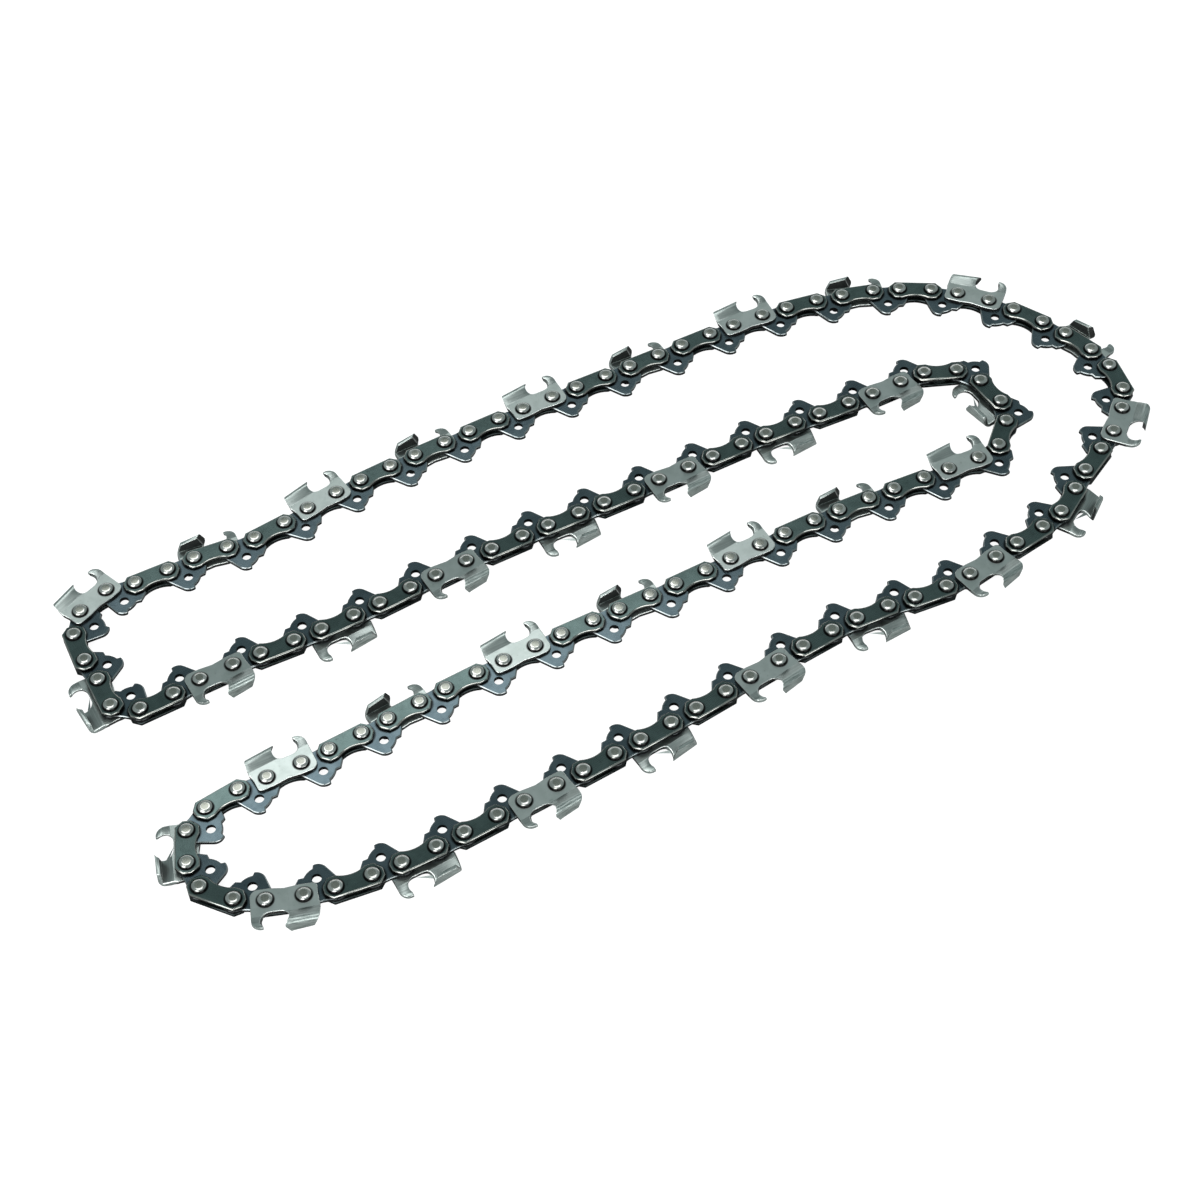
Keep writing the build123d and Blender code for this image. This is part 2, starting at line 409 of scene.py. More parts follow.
@dataclass
class LinkForm:
    """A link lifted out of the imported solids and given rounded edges."""

    name: str
    spacing: float
    edge: float
    weld: float = 0.002 * MM
    bore: float = 2.4 * MM
    edge_segments: int = 2
    edge_profile: float = 0.5
    sharp_angle: float = math.radians(45)
    flat_angle: float = math.radians(1.5)
    crisp_angle: float = math.radians(50)
    upright: float = 0.3
    facing_back: float = -0.5
    tooth: float = 5.0 * MM
    oil_hole: Vector | None = None
    oil_rim: float = 1.6 * MM

    def lift(self, node: bpy.types.Object, seat: Seat) -> bpy.types.Object:
        """Copy the solid at a seat into its own link frame.

        Args:
            node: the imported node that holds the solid.
            seat: the place of the solid that is copied.

        Returns:
            An object that holds the finished link about the origin.
        """
        shape = bmesh.new()
        shape.from_mesh(node.data)
        bmesh.ops.remove_doubles(shape, verts=shape.verts[:], dist=self.weld)
        self._keep_nearest(shape, seat.centre)
        bmesh.ops.transform(shape, matrix=seat.matrix().inverted(), verts=shape.verts[:])
        bmesh.ops.dissolve_limit(
            shape,
            angle_limit=self.flat_angle,
            verts=shape.verts[:],
            edges=shape.edges[:],
        )
        self._round_edges(shape)
        return finished_link(shape, self.name, self.crisp_angle)

    def _keep_nearest(self, shape: bmesh.types.BMesh, centre: Vector) -> None:
        """Delete every solid but one.

        Args:
            shape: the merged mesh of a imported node.
            centre: the place that the middle of the kept solid is nearest to.
        """
        solids = list(islands(shape))
        middles = [sum((vertex.co for vertex in solid), Vector()) / len(solid) for solid in solids]
        nearest = min(range(len(solids)), key=lambda index: (middles[index] - centre).length)
        spare = [vertex for index, solid in enumerate(solids) if index != nearest for vertex in solid]
        bmesh.ops.delete(shape, geom=spare, context="VERTS")

    def _round_edges(self, shape: bmesh.types.BMesh) -> None:
        """Mark walls and the tooth's inner faces, which get painted shade, round the sharp edges and mark
        those as worn.

        Args:
            shape: the link about the origin.
        """
        wear = shape.faces.layers.float.new(WEAR)
        wall = shape.faces.layers.float.new(WALL)
        inside = shape.faces.layers.float.new(INSIDE)
        for face in shape.faces:
            face[wall] = float(abs(face.normal.z) < self.upright)
            looks_back = face.normal.y < self.facing_back and face.calc_center_median().y > self.tooth
            face[inside] = float(looks_back)
        solid = BVHTree.FromBMesh(shape)
        rounded = bmesh.ops.bevel(
            shape,
            geom=[edge for edge in shape.edges if self._shows(edge)],
            offset=self.edge,
            offset_type="OFFSET",
            segments=self.edge_segments,
            profile=self.edge_profile,
            affect="EDGES",
            clamp_overlap=False,
            miter_outer="ARC",
        )
        for face in rounded["faces"]:
            face[wear] = 1.0
            face[wall] = 0.0
            face[inside] = 0.0
        self._settle(shape, solid)

    def _settle(self, shape: bmesh.types.BMesh, solid: BVHTree) -> None:
        """Pull points that stand out of the solid, or sink deep into it, back to its surface.

        Args:
            shape: the link with rounded edges.
            solid: the link as it was before.
        """
        for vertex in shape.verts:
            near, normal, _, gap = solid.find_nearest(vertex.co)
            outside = (vertex.co - near).dot(normal) > 0
            if outside or gap > self.edge / 2:
                vertex.co = near
        bmesh.ops.dissolve_degenerate(shape, dist=self.weld / 2, edges=shape.edges[:])

    def _shows(self, edge: bmesh.types.BMEdge) -> bool:
        """Tell whether an edge is rounded.

        Args:
            edge: an edge of the link.

        Returns:
            True for a sharp edge round a flat that is not at a rivet or at the oil hole.
        """
        if edge.calc_face_angle(0.0) < self.sharp_angle:
            return False
        if all(abs(face.normal.z) < self.upright for face in edge.link_faces):
            return False
        middle = sum((vertex.co for vertex in edge.verts), Vector()) / 2
        if self.oil_hole and (middle.xy - self.oil_hole).length < self.oil_rim:
            return False
        return math.hypot(abs(middle.x) - self.spacing / 2, middle.y) > self.bore


@dataclass
class RivetForm:
    """A rivet with a peened, rounded head over each strap."""

    name: str
    segments: int = 24
    strap_inner: float = 0.71 * MM
    strap_outer: float = 1.91 * MM
    shoulder: float = 2.20 * MM
    hub: float = 1.60 * MM
    dish: float = 0.06 * MM
    head_radius: float = 2.40 * MM
    head_flat: float = 1.12 * MM
    head_height: float = 0.95 * MM
    head_steps: int = 6
    head_fullness: float = 1.53
    head_roundness: float = 0.455
    crisp_angle: float = math.radians(50)

    def build(self) -> bpy.types.Object:
        """Turn the rivet's profile about Z.

        Returns:
            An object that holds the rivet about the origin.
        """
        upper = [
            (self.shoulder, self.strap_inner),
            (self.hub, self.strap_inner),
            (self.hub, self.strap_outer),
        ]
        upper += [self._head_point(step) for step in range(self.head_steps + 1)]
        profile = [(radius, -height) for radius, height in reversed(upper)] + upper
        shape = bmesh.new()
        wear = shape.faces.layers.float.new(WEAR)
        shape.faces.layers.float.new(WALL)
        rings = [self._ring(shape, radius, height) for radius, height in profile]
        rim = range(self.head_steps)
        for index, (low, high) in enumerate(zip(rings, rings[1:])):
            faces = self._band(shape, low, high)
            if index in rim or len(rings) - 2 - index in rim:
                for face in faces:
                    face[wear] = 1.0
        for ring, turn in ((rings[0], -1), (rings[-1], 1)):
            self._cap(shape, ring, turn)
        bmesh.ops.recalc_face_normals(shape, faces=shape.faces[:])
        return finished_link(shape, self.name, self.crisp_angle)

    def _head_point(self, step: int) -> tuple[float, float]:
        """Find a point on the rounded head.

        Args:
            step: its number, from the head's foot to its flat.

        Returns:
            The radius and the height.
        """
        share = math.cos(math.pi / 2 * step / self.head_steps)
        rise = (1 - share ** self.head_fullness) ** self.head_roundness
        radius = self.head_flat + (self.head_radius - self.head_flat) * share
        return radius, self.strap_outer + self.head_height * rise

    def _ring(self, shape: bmesh.types.BMesh, radius: float, height: float) -> list[bmesh.types.BMVert]:
        """Add a ring of points."""
        angles = [2 * math.pi * index / self.segments for index in range(self.segments)]
        return [shape.verts.new((radius * math.cos(a), radius * math.sin(a), height)) for a in angles]

    def _band(
        self,
        shape: bmesh.types.BMesh,
        low: list[bmesh.types.BMVert],
        high: list[bmesh.types.BMVert],
    ) -> list[bmesh.types.BMFace]:
        """Add the faces between two rings."""
        corners_of_faces = zip(low, low[1:] + low[:1], high[1:] + high[:1], high)
        return [shape.faces.new(four) for four in corners_of_faces]

    def _cap(self, shape: bmesh.types.BMesh, ring: list[bmesh.types.BMVert], turn: int) -> None:
        """Close a head with a slightly dished top.

        Args:
            shape: the rivet.
            ring: the head's last ring.
            turn: 1 for the upper head and -1 for the lower one.
        """
        height = ring[0].co.z - turn * self.dish
        centre = shape.verts.new((0, 0, height))
        for first, second in zip(ring, ring[1:] + ring[:1]):
            shape.faces.new((first, second, centre))


def islands(shape: bmesh.types.BMesh) -> Iterator[list[bmesh.types.BMVert]]:
    """Walk over the separate solids in a mesh.

    Args:
        shape: a mesh whose doubles are merged.

    Yields:
        The points of each solid.
    """
    seen = set()
    for start in shape.verts:
        if start in seen:
            continue
        seen.add(start)
        solid = [start]
        for vertex in solid:
            fresh = {edge.other_vert(vertex) for edge in vertex.link_edges} - seen
            seen |= fresh
            solid += sorted(fresh, key=lambda other: other.index)
        yield solid


def finished_link(shape: bmesh.types.BMesh, name: str, crisp: float) -> bpy.types.Object:
    """Set a link's shading and its own coordinates, and make it an object.

    Args:
        shape: the link about the origin. It is freed.
        name: the object's name.
        crisp: the angle above which an edge stays sharp.

    Returns:
        The object, linked to the scene.
    """
    place = shape.verts.layers.float_vector.new(PLACE)
    for vertex in shape.verts:
        vertex[place] = vertex.co / MM
    for face in shape.faces:
        face.smooth = abs(face.normal.z) < LEVEL_NORMAL
    for edge in shape.edges:
        edge.smooth = edge.calc_face_angle(0.0) < crisp
    mesh = bpy.data.meshes.new(name)
    shape.to_mesh(mesh)
    shape.free()
    link = bpy.data.objects.new(name, mesh)
    bpy.context.scene.collection.objects.link(link)
    return link


class LinkTree:
    """Geometry Nodes tree that sets copies of one link on places along the loop."""

    def __init__(self) -> None:
        """Build the tree with its named inputs."""
        self.tree = bpy.data.node_groups.new("links_along_loop", "GeometryNodeTree")
        interface = self.tree.interface
        interface.new_socket("Geometry", in_out="OUTPUT", socket_type="NodeSocketGeometry")
        interface.new_socket("Places", in_out="INPUT", socket_type="NodeSocketGeometry")
        self.inputs = {
            name: interface.new_socket(name, in_out="INPUT", socket_type=kind).identifier
            for name, kind in (
                ("Link", "NodeSocketObject"),
                ("Finish", "NodeSocketMaterial"),
                ("Lean", "NodeSocketFloat"),
                ("Seed", "NodeSocketInt"),
            )
        }
        self._fill(Graph(self.tree))

    def _fill(self, graph: Graph) -> None:
        """Add the tree's nodes.

        Args:
            graph: the empty tree.
        """
        given = graph.node("NodeGroupInput")
        turn = graph.node("GeometryNodeInputNamedAttribute", {"data_type": "FLOAT"}, {"Name": TURN})
        angles = graph.node("ShaderNodeCombineXYZ", inputs={"Z": turn})
        rotation = graph.node("FunctionNodeEulerToRotation", inputs={"Euler": angles})
        link = graph.node(
            "GeometryNodeObjectInfo",
            inputs={"Object": given.output("Link")},
            output="Geometry",
        )
        placed = graph.node(
            "GeometryNodeInstanceOnPoints",
            inputs={"Points": given.output("Places"), "Instance": link, "Rotation": rotation},
        )
        chance = graph.node(
            "FunctionNodeRandomValue",
            {"data_type": "FLOAT"},
            {"Seed": given.output("Seed")},
            RANDOM_NUMBER,
        )
        varied = graph.node(
            "GeometryNodeStoreNamedAttribute",
            {"data_type": "FLOAT", "domain": "INSTANCE"},
            {"Geometry": placed, "Name": VARY, "Value": chance},
        )
        along = graph.node("ShaderNodeCombineXYZ", inputs={"X": given.output("Lean")})
        turned = graph.node("GeometryNodeInputInstanceRotation")
        axis = graph.node("FunctionNodeRotateVector", inputs={"Vector": along, "Rotation": turned})
        leaning = graph.node(
            "GeometryNodeStoreNamedAttribute",
            {"data_type": "FLOAT_VECTOR", "domain": "INSTANCE"},
            {"Geometry": varied, "Name": LEAN, "Value": axis},
        )
        solid = graph.node("GeometryNodeRealizeInstances", inputs={"Geometry": leaning})
        dressed = graph.node(
            "GeometryNodeSetMaterial",
            inputs={"Geometry": solid, "Material": given.output("Finish")},
        )
        graph.node("NodeGroupOutput", inputs={0: dressed})

    def set_out(
        self,
        name: str,
        link: bpy.types.Object,
        seats: Sequence[Seat],
        values: dict[str, object],
    ) -> bpy.types.Object:
        """Set a link on its seats and turn the result into a plain mesh.

        Args:
            name: the new piece's name.
            link: the link about the origin.
            seats: where the copies go.
            values: the tree's other inputs by name.

        Returns:
            The finished piece.
        """
        mesh = bpy.data.meshes.new(name)
        mesh.from_pydata([seat.centre for seat in seats], [], [])
        turns = mesh.attributes.new(TURN, "FLOAT", "POINT")
        turns.data.foreach_set("value", [seat.turn for seat in seats])
        lows = mesh.attributes.new(LOW, "FLOAT", "POINT")
        lows.data.foreach_set("value", [seat.low for seat in seats])
        piece = bpy.data.objects.new(name, mesh)
        bpy.context.scene.collection.objects.link(piece)
        modifier = piece.modifiers.new("links", "NODES")
        modifier.node_group = self.tree
        for key, value in {"Link": link, **values}.items():
            modifier[self.inputs[key]] = value
        depsgraph = bpy.context.evaluated_depsgraph_get()
        solid = bpy.data.meshes.new_from_object(
            piece.evaluated_get(depsgraph),
            preserve_all_data_layers=True,
            depsgraph=depsgraph,
        )
        piece.modifiers.remove(modifier)
        piece.data = solid
        solid.name = name
        bpy.data.meshes.remove(mesh)
        return piece


class Skin:
    """What a finish reads from a link's own mesh, in millimetres of the link's own frame."""

    # How far the noise moves at most from link to link, in X and in Z
    shift_along: float = 31.0
    shift_across: float = 57.0

    def __init__(self, graph: Graph) -> None:
        """Read the link's coordinates and masks.

        Args:
            graph: the finish's tree.
        """
        self.graph = graph
        self.place = graph.attribute(PLACE, "Vector")
        parts = graph.node("ShaderNodeSeparateXYZ", inputs={"Vector": self.place})
        self.x = parts.output("X")
        self.y = parts.output("Y")
        self.vary = graph.attribute(VARY, "Fac")
        self.wear = graph.attribute(WEAR, "Fac")
        self.wall = graph.attribute(WALL, "Fac")
        self.inside = graph.attribute(INSIDE, "Fac")
        self.low = graph.attribute(LOW, "Fac")
        shift = graph.node(
            "ShaderNodeCombineXYZ",
            inputs={"X": self.vary * self.shift_along, "Z": self.vary * self.shift_across},
        )
        self.own = graph.vector("ADD", self.place, shift)

    def noise(self, scale: float, stretch: Stretch = (1, 1, 1), detail: float = 3.0) -> Term:
        """Return a noise that differs from link to link.

        Args:
            scale: waves in a millimetre.
            stretch: how much closer the waves are along each axis.
            detail: octaves of finer waves.

        Returns:
            The noise, about 0 to 1.
        """
        place = self.graph.vector("MULTIPLY", self.own, stretch)
        return self.graph.node(
            "ShaderNodeTexNoise",
            inputs={"Vector": place, "Scale": scale, "Detail": detail},
        )

    def from_rivets(self, spacing: float) -> Term:
        """Return the distance from the nearer of two rivets that stand a spacing apart."""
        along = abs(self.x) - spacing / 2
        return self.graph.maths("SQRT", along * along + self.y * self.y)

    def from_middle(self) -> Term:
        """Return the distance from the link's own axis."""
        return self.graph.maths("SQRT", self.x * self.x + self.y * self.y)

    def leaned_normal(self) -> Term:
        """Lean the surface normal.

        Returns:
            The normal of a link that rests on flared teeth and so leans to its tang side.
        """
        normal = self.graph.node("ShaderNodeNewGeometry", output="Normal")
        axis = self.graph.attribute(LEAN, "Vector")
        turned = self.graph.vector("ADD", normal, self.graph.vector("CROSS_PRODUCT", axis, normal))
        return self.graph.vector("NORMALIZE", turned)


@dataclass(frozen=True)
class Steel:
    """A bare steel finish that follows each link's own coordinates."""

    name: str
    slot: str
    colour: Colour
    shade: Colour
    worn: Colour
    # Near-black colour of walls, stains and grime, also used for painted shade
    wall: Colour
    rough: float
    grain_scale: float = 1.2
    grain_stretch: Stretch = (0.5, 5.0, 1.0)
    grain_depth: float = 0.010 * MM
    grain_strength: float = 0.25
    grain_middle: float = 0.5
    patch_scale: float = 0.25
    patch_span: Span = (0.35, 0.65)
    shade_by_patch: float = 0.55
    shade_by_link: float = 0.25
    shade_by_grain: float = 0.2
    worn_everywhere: float = 0.55
    worn_by_patch: float = 0.4
    stain_scale: float = 0.9
    stain_span: Span = (0.62, 0.80)
    stain_strength: float = 0.35
    low_edge_shade: float = 0.85
    rough_by_grain: float = 0.14
    rough_on_wall: float = 0.22
    smooth_by_wear: float = 0.08

    def material(self) -> bpy.types.Material:
        """Make the material.

        Returns:
            A metal whose colour, roughness and bump follow the link.
        """
        material = bpy.data.materials.new(self.name)
        material.use_nodes = True
        graph = Graph(material.node_tree)
        skin = Skin(graph)
        grain = skin.noise(self.grain_scale, self.grain_stretch)
        bump = graph.node("ShaderNodeBump", inputs={
            "Strength": self.grain_strength,
            "Distance": self.grain_depth,
            "Height": grain,
            "Normal": skin.leaned_normal(),
        })
        shader = graph.node("ShaderNodeBsdfPrincipled", inputs={
            "Base Color": self.tint(skin, grain),
            "Metallic": 1.0,
            "Roughness": self.roughness(skin, grain),
            "Normal": bump,
        })
        graph.node("ShaderNodeOutputMaterial", inputs={"Surface": shader})
        return material

    def tint(self, skin: Skin, grain: Term) -> Term:
        """Return the colour.

        Args:
            skin: the link's coordinates and masks.
            grain: the fine marks of the surface.

        Returns:
            Patches on the flats, bright worn edges, grime, dark walls that are partly painted shade, and
            painted shade on the edges of links on the floor side.
        """
        graph = skin.graph
        patches = skin.noise(self.patch_scale).ramp(*self.patch_span)
        shaded = patches * self.shade_by_patch + skin.vary * self.shade_by_link + grain * self.shade_by_grain
        base = graph.mix(shaded, self.colour, self.shade)
        # Links on the floor side get no bright worn edges; their edges are painted dark instead, as painted
        # shade
        worn = skin.wear * (self.worn_everywhere + patches * self.worn_by_patch) * (1.0 - skin.low)
        base = graph.mix(worn, base, self.worn)
        # Walls are darkened towards the wall colour: partly the rough wall's own colour, partly painted
        # shade
        base = graph.mix(self.stamped_and_shaded(skin), base, self.wall)
        # Stains, and in the subclasses dark rings that are partly grime and partly painted shade
        return graph.mix(self.grime_and_shade(skin), base, self.wall)

    def grime_and_shade(self, skin: Skin) -> Term:
        """Return where oil and grime gather: here in a few stains."""
        return skin.noise(self.stain_scale).ramp(*self.stain_span) * self.stain_strength

    def stamped_and_shaded(self, skin: Skin) -> Term:
        """Return the dark walls, partly painted shade, and painted shade on the edges of floor-side links.
        """
        shaded_low_edge = skin.wear * skin.low * self.low_edge_shade
        return skin.graph.maths("MAXIMUM", skin.wall, shaded_low_edge)

    def roughness(self, skin: Skin, grain: Term) -> Term:
        """Return the roughness, duller on the walls and uneven along the grain."""
        uneven = (grain - self.grain_middle) * self.rough_by_grain
        return self.rough + uneven + skin.wall * self.rough_on_wall - skin.wear * self.smooth_by_wear


@dataclass(frozen=True)
class RivetedSteel(Steel):
    """Steel of a flat link, with grime and painted shade round its rivets, in millimetres."""

    spacing: float = STRAP_SPACING / MM
    ring_inner: float = 2.45
    ring_outer: float = 2.80
    ring_grime_and_shade: float = 0.9

    def grime_and_shade(self, skin: Skin) -> Term:
        """Return the grime and painted shade round the rivets, and a few stains."""
        # Painted shade and grime: a dark ring just outside each rivet head
        ring = 1.0 - skin.from_rivets(self.spacing).ramp(self.ring_inner, self.ring_outer)
        return skin.graph.maths("MAXIMUM", ring * self.ring_grime_and_shade, super().grime_and_shade(skin))


@dataclass(frozen=True)
class PlatedSteel(RivetedSteel):
    """Plated steel of a cutter, brushed on its flared side."""

    band: Colour = (0.26, 0.29, 0.28)
    streak: Colour = (0.15, 0.18, 0.17)
    crease: float = 4.45
    crease_rise: float = 0.08
    crease_span: Span = (-0.15, 0.15)
    shoulder: float = 6.60
    shoulder_rise: float = 0.055
    shoulder_span: Span = (-0.1, 0.5)
    wall_end_span: Span = (4.6, 5.6)
    stroke_scale: float = 1.0
    stroke_stretch: Stretch = (0.10, 3.5, 3.5)
    stroke_detail: float = 2.0
    brush_span: Span = (0.3, 0.7)
    brushed_everywhere: float = 0.45
    brushed_by_stroke: float = 0.5
    top_span: Span = (0.0, 0.6)
    streak_span: Span = (0.42, 0.66)
    streak_strength: float = 0.7
    inside_shade: float = 0.93

    def flared(self, skin: Skin) -> Term:
        """Find where the side plate is bent outwards.

        Args:
            skin: the cutter's coordinates.

        Returns:
            1 from the crease up to the rounded shoulder.
        """
        over_crease = skin.y - (skin.x * self.crease_rise + self.crease)
        over_shoulder = skin.y - (skin.x * self.shoulder_rise + self.shoulder)
        return over_crease.ramp(*self.crease_span) * (1.0 - over_shoulder.ramp(*self.shoulder_span))

    def stamped_and_shaded(self, skin: Skin) -> Term:
        """Return the dark wall below the tooth, partly its own rough colour and partly painted shade."""
        return skin.wall * (1.0 - skin.y.ramp(*self.wall_end_span))

    def tint(self, skin: Skin, grain: Term) -> Term:
        """Return the colour.

        Args:
            skin: the cutter's coordinates and masks.
            grain: the fine marks of the surface.

        Returns:
            The plated colour with a greyer, brushed band on the flared side, streaks on the top plate and
            painted shade on the inner side of the tooth.
        """
        graph = skin.graph
        strokes = skin.noise(self.stroke_scale, self.stroke_stretch, self.stroke_detail)
        brushing = self.brushed_everywhere + strokes.ramp(*self.brush_span) * self.brushed_by_stroke
        brushed = self.flared(skin) * (1.0 - skin.wear) * brushing
        base = graph.mix(brushed, super().tint(skin, grain), self.band)
        on_top = (skin.y - self.shoulder).ramp(*self.top_span)
        streaks = on_top * strokes.ramp(*self.streak_span) * self.streak_strength
        base = graph.mix(streaks, base, self.streak)
        # Painted shade: the tooth's inner faces are darkened towards the wall colour
        return graph.mix(skin.inside * self.inside_shade, base, self.wall)


@dataclass(frozen=True)
class PeenedSteel(Steel):
    """Steel of a rivet head, spun bright on its rim and dull on its flat, in millimetres."""

    grain_scale: float = 1.6
    grain_stretch: Stretch = (1, 1, 1)
    foot_inner: float = 1.92
    foot_outer: float = 2.12

    def grime_and_shade(self, skin: Skin) -> Term:
        """Return the dark foot of the head, partly grime and partly painted shade."""
        return skin.from_middle().ramp(self.foot_inner, self.foot_outer)


def link_finishes() -> dict[Kind, Steel]:
    """Choose the steel of each kind of link.

    Returns:
        The finishes by kind. Both cutters share one.
    """
    cutter = PlatedSteel(
        name="plated_cutter_steel",
        slot="cutter_steel",
        colour=(0.48, 0.53, 0.512),
        shade=(0.38, 0.43, 0.41),
        worn=(0.74, 0.76, 0.74),
        wall=(0.05, 0.05, 0.05),
        rough=0.36,
    )
    drive_link = RivetedSteel(
        name="blued_drive_steel",
        slot="drive_link_steel",
        colour=(0.110, 0.150, 0.168),
        shade=(0.070, 0.100, 0.115),
        worn=(0.38, 0.41, 0.41),
        wall=(0.014, 0.015, 0.016),
        rough=0.28,
        spacing=DRIVE_SPACING / MM,
        # Painted shadow and grime along the straps' edges, where this ring shows beyond them
        ring_inner=3.60,
        ring_outer=4.25,
    )
    tie_strap = RivetedSteel(
        name="blued_strap_steel",
        slot="strap_steel",
        colour=(0.105, 0.150, 0.144),
        shade=(0.072, 0.104, 0.100),
        worn=(0.44, 0.44, 0.41),
        wall=(0.012, 0.012, 0.013),
        rough=0.28,
    )
    rivet = PeenedSteel(
        name="peened_rivet_steel",
        slot="rivet_steel",
        colour=(0.33, 0.34, 0.30),
        shade=(0.25, 0.26, 0.23),
        worn=(0.62, 0.62, 0.60),
        wall=(0.012, 0.012, 0.012),
        rough=0.28,
    )
    return {
        Kind.RIGHT_CUTTER: cutter,
        Kind.LEFT_CUTTER: cutter,
        Kind.DRIVE_LINK: drive_link,
        Kind.TIE_STRAP: tie_strap,
        Kind.RIVET: rivet,
    }


@dataclass
class ChainLoop:
    """The whole loop, link by link."""

    lay: ChainLay
    tree: LinkTree
    finishes: dict[Kind, Steel]
    strap_middle: float = 1.31 * MM
    cutter_edge: float = 0.16 * MM
    cutter_weld: float = 0.10 * MM
    drive_edge: float = 0.32 * MM
    strap_edge: float = 0.36 * MM
    oil_hole_depth: float = 4.85 * MM
    lean: float = math.radians(8)
    right_pair: int = 0
    plain_pair: int = 1
    left_pair: int = 2
    links: dict[Kind, bpy.types.Object] = field(init=False, default_factory=dict)
    materials: dict[str, bpy.types.Material] = field(init=False, default_factory=dict)

    def build(self) -> list[bpy.types.Object]:
        """Make every piece of the loop.

        Returns:
            The finished pieces.
        """
        self.links = self._links()
        for steel in self.finishes.values():
            if steel.name not in self.materials:
                self.materials[steel.name] = steel.material()
        pieces = [self._piece(*parts) for parts in self._parts()]
        for link in self.links.values():
            bpy.data.objects.remove(link)
        return pieces

    def _links(self) -> dict[Kind, bpy.types.Object]:
        """Make one link of each kind.

        Returns:
            The links about the origin.
        """
        lay = self.lay
        right = self._cutter_form(Kind.RIGHT_CUTTER)
        left = self._cutter_form(Kind.LEFT_CUTTER)
        oil_hole = Vector((0.0, -self.oil_hole_depth))
        drive = LinkForm(Kind.DRIVE_LINK.value, lay.drive_spacing, self.drive_edge, oil_hole=oil_hole)
        strap = LinkForm(Kind.TIE_STRAP.value, lay.strap_spacing, self.strap_edge)
        strap_seat = lay.pair_seat(self.plain_pair).raised(lay.middle + self.strap_middle)
        return {
            Kind.RIGHT_CUTTER: right.lift(lay.nodes["right_cutter_01"], lay.pair_seat(self.right_pair)),
            Kind.LEFT_CUTTER: left.lift(lay.nodes["left_cutter_01"], lay.pair_seat(self.left_pair)),
            Kind.DRIVE_LINK: drive.lift(lay.nodes["drive_links_1"], lay.drive_seat(0)),
            Kind.TIE_STRAP: strap.lift(lay.nodes["tie_straps_1"], strap_seat),
            Kind.RIVET: RivetForm(Kind.RIVET.value).build(),
        }

    def _cutter_form(self, kind: Kind) -> LinkForm:
        """Return the form of a cutter, whose fine facets are merged before its edges are rounded."""
        return LinkForm(kind.value, self.lay.strap_spacing, self.cutter_edge, self.cutter_weld)

    def _parts(self) -> Iterator[tuple[str, Kind, list[Seat]]]:
        """List the pieces of the loop.

        Yields:
            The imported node, the kind of link and the seats of each piece.
        """
        lay = self.lay
        for period in range(lay.periods):
            first = period * lay.pairs_per_period
            label = f"{period + 1:02d}"
            yield f"right_cutter_{label}", Kind.RIGHT_CUTTER, [lay.pair_seat(first + self.right_pair)]
            yield f"left_cutter_{label}", Kind.LEFT_CUTTER, [lay.pair_seat(first + self.left_pair)]
        for number in range(1, lay.stretches + 1):
            pairs = lay.stretch(number)
            drive_seats = [lay.drive_seat(pair) for pair in pairs]
            strap_seats = [seat for pair in pairs for seat in self._strap_seats(pair)]
            rivet_seats = [seat for pair in pairs for seat in lay.rivet_seats(pair)]
            yield f"drive_links_{number}", Kind.DRIVE_LINK, drive_seats
            yield f"tie_straps_{number}", Kind.TIE_STRAP, strap_seats
            yield f"rivets_{number}", Kind.RIVET, rivet_seats

    def _strap_seats(self, pair: int) -> list[Seat]:
        """Find the seats of a pair's tie straps.

        Args:
            pair: the strap pair's number.

        Returns:
            The seats, none on the side where a cutter lies.
        """
        cutter_sides = {self.right_pair: Side.UPPER, self.left_pair: Side.LOWER}
        taken = cutter_sides.get(pair % self.lay.pairs_per_period)
        seat = self.lay.pair_seat(pair)
        return [
            seat.raised(self.lay.middle + side.value * self.strap_middle, float(side is Side.LOWER))
            for side in Side
            if side is not taken
        ]

    def _piece(self, node: str, kind: Kind, seats: list[Seat]) -> bpy.types.Object:
        """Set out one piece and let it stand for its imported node.

        Args:
            node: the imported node.
            kind: the kind of link in it.
            seats: where its links sit.

        Returns:
            The finished piece.
        """
        seed = zlib.crc32(node.encode()) % SEED_LIMIT
        finish = self.materials[self.finishes[kind].name]
        values = {"Finish": finish, "Lean": self.lean, "Seed": seed}
        piece = self.tree.set_out(f"{node}_finished", self.links[kind], seats, values)
        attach(piece, BODY)
        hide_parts(node)
        LOG.info("%s: %d faces", piece.name, len(piece.data.polygons))
        return piece


@dataclass(frozen=True)
class Softbox:
    """A rectangular lamp that faces the middle of the loop, in metres."""

    name: str
    place: Vector
    width: float
    height: float
    glow: float
    power_per_glow: float = 4.0

    def hang(self) -> None:
        """Add the lamp to the scene."""
        data = bpy.data.lights.new(self.name, "AREA")
        data.shape = "RECTANGLE"
        data.size = self.width
        data.size_y = self.height
        data.energy = self.glow * self.power_per_glow * self.width * self.height
        lamp = bpy.data.objects.new(self.name, data)
        lamp.location = self.place
        lamp.rotation_mode = "QUATERNION"
        lamp.rotation_quaternion = (-self.place).to_track_quat("-Z", "Y")
        bpy.context.scene.collection.objects.link(lamp)


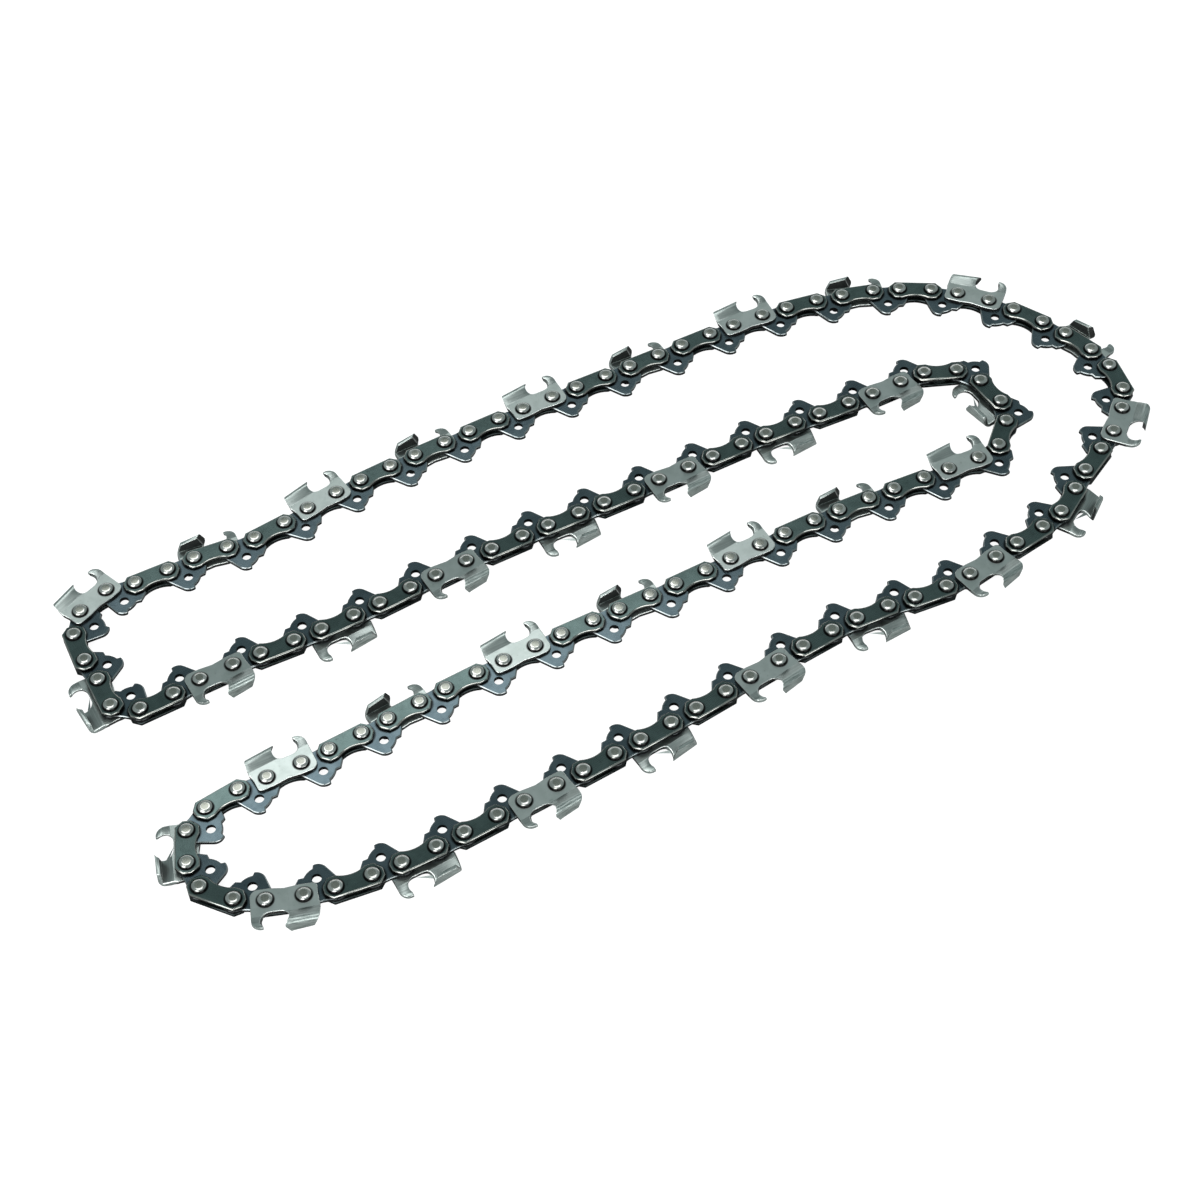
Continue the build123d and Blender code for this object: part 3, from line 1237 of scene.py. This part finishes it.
@dataclass
class Studio:
    """White floor, soft light and the camera, in metres and degrees."""

    azimuth: float = -29.089
    elevation: float = 51.303
    roll: float = -2.091
    aim: Vector = field(default_factory=lambda: Vector((-19.930, -11.721, 0.0)) * MM)
    distance: float = 707.41 * MM
    lens: float = 71.568
    sensor: float = 36.0
    clip_start: float = 0.01
    floor_half: float = 3.0
    floor_drop: float = 0.05 * MM
    floor_colour: Colour = (0.3, 0.3, 0.3)
    floor_glow: float = 0.92
    mirror_strength: float = 0.2
    mirror_reach: float = 8 * MM
    room_colour: Colour = (0.84, 1.0, 1.0)
    room_glow: float = 0.37

    def build(self) -> None:
        """Set up the view, the floor and the lamps."""
        scene = bpy.context.scene
        scene.view_settings.view_transform = "Standard"
        self._camera(scene)
        self._floor()
        self._world(scene)
        for softbox in self._softboxes():
            softbox.hang()

    def _softboxes(self) -> list[Softbox]:
        """Choose the lamps.

        Returns:
            One overhead, three on the camera's side and a dim strip behind.
        """
        front_left = self._from_camera(-0.45, -0.80, 0.50)
        front_right = self._from_camera(0.45, -0.80, 0.50)
        high_left = self._from_camera(-0.35, -0.45, 0.80)
        behind = self._from_camera(0.0, 0.95, 0.16)
        return [
            Softbox("overhead", Vector((0.02, 0.16, 0.80)), width=0.50, height=0.36, glow=2.05),
            Softbox("front_left", front_left, width=0.75, height=0.40, glow=3.6),
            Softbox("front_right", front_right, width=0.75, height=0.40, glow=3.6),
            Softbox("high_left", high_left, width=0.45, height=0.45, glow=2.8),
            Softbox("behind", behind, width=1.40, height=0.22, glow=0.8),
        ]

    def _from_camera(self, right: float, ahead: float, height: float) -> Vector:
        """Return a place by the camera's own directions in plan, from the middle of the loop.

        Args:
            right: how far it is to the right.
            ahead: how far it is beyond the loop.
            height: how far it is over the floor.

        Returns:
            The place.
        """
        turn = math.radians(self.azimuth)
        along = Vector((-math.sin(turn), math.cos(turn), 0))
        across = Vector((along.y, -along.x, 0))
        return across * right + along * ahead + Vector((0, 0, height))

    def _camera(self, scene: bpy.types.Scene) -> None:
        """Put the camera at the photograph's viewing angle.

        Args:
            scene: the scene that looks through it.
        """
        turn, rise, roll = (math.radians(angle) for angle in (self.azimuth, self.elevation, self.roll))
        ahead = Vector((-math.sin(turn) * math.cos(rise), math.cos(turn) * math.cos(rise), -math.sin(rise)))
        right = ahead.cross(Vector((0, 0, 1))).normalized()
        up = right.cross(ahead)
        across = right * math.cos(roll) + up * math.sin(roll)
        above = up * math.cos(roll) - right * math.sin(roll)
        data = bpy.data.cameras.new("camera")
        data.lens = self.lens
        data.sensor_width = self.sensor
        data.clip_start = self.clip_start
        camera = bpy.data.objects.new("camera", data)
        axes = Matrix((across, above, -ahead)).transposed().to_4x4()
        camera.matrix_world = Matrix.Translation(self.aim - ahead * self.distance) @ axes
        scene.collection.objects.link(camera)
        scene.camera = camera

    def _floor(self) -> None:
        """Lay a floor that is white to the camera and dim in the steel."""
        half = self.floor_half
        mesh = bpy.data.meshes.new("floor")
        outline = [(-half, -half, 0), (half, -half, 0), (half, half, 0), (-half, half, 0)]
        mesh.from_pydata(outline, [], [(0, 1, 2, 3)])
        floor = bpy.data.objects.new("floor", mesh)
        floor.location.z = -self.floor_drop
        bpy.context.scene.collection.objects.link(floor)
        mesh.materials.append(self._floor_white())

    def _floor_white(self) -> bpy.types.Material:
        """Make the floor's finish.

        Returns:
            A matt grey that glows white to the camera, and weakly to mirrored rays away from the loop.
        """
        material = bpy.data.materials.new("floor_white")
        material.use_nodes = True
        graph = Graph(material.node_tree)
        rays = graph.node("ShaderNodeLightPath", output="Is Camera Ray")
        open_air = graph.node(
            "ShaderNodeAmbientOcclusion",
            inputs={"Distance": self.mirror_reach},
            output="AO",
        )
        mirrored = graph.maths("MAXIMUM", rays.output("Is Glossy Ray"), rays.output("Is Transmission Ray"))
        seen = rays + mirrored * open_air * self.mirror_strength
        matt = graph.node("ShaderNodeBsdfDiffuse", inputs={"Color": self.floor_colour})
        strength = seen * self.floor_glow
        glow = graph.node("ShaderNodeEmission", inputs={"Color": (1, 1, 1), "Strength": strength})
        both = graph.node("ShaderNodeAddShader", inputs={0: matt, 1: glow})
        graph.node("ShaderNodeOutputMaterial", inputs={"Surface": both})
        return material

    def _world(self, scene: bpy.types.Scene) -> None:
        """Fill the room with a dim, slightly blue-green light.

        Args:
            scene: the scene that stands in the room.
        """
        world = bpy.data.worlds.new("room")
        world.use_nodes = True
        graph = Graph(world.node_tree)
        sky = graph.node(
            "ShaderNodeBackground",
            inputs={"Color": self.room_colour, "Strength": self.room_glow},
        )
        graph.node("ShaderNodeOutputWorld", inputs={"Surface": sky})
        scene.world = world


def main() -> None:
    """Load the frame, dress the loop and set up the studio."""
    logging.basicConfig(level=logging.INFO, format="%(name)s: %(message)s")
    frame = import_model()
    loop = ChainLoop(ChainLay(frame["nodes"]), LinkTree(), link_finishes())
    pieces = loop.build()
    Studio().build()
    LOG.info("%d pieces, %d faces", len(pieces), sum(len(piece.data.polygons) for piece in pieces))


if __name__ == "__main__":
    main()
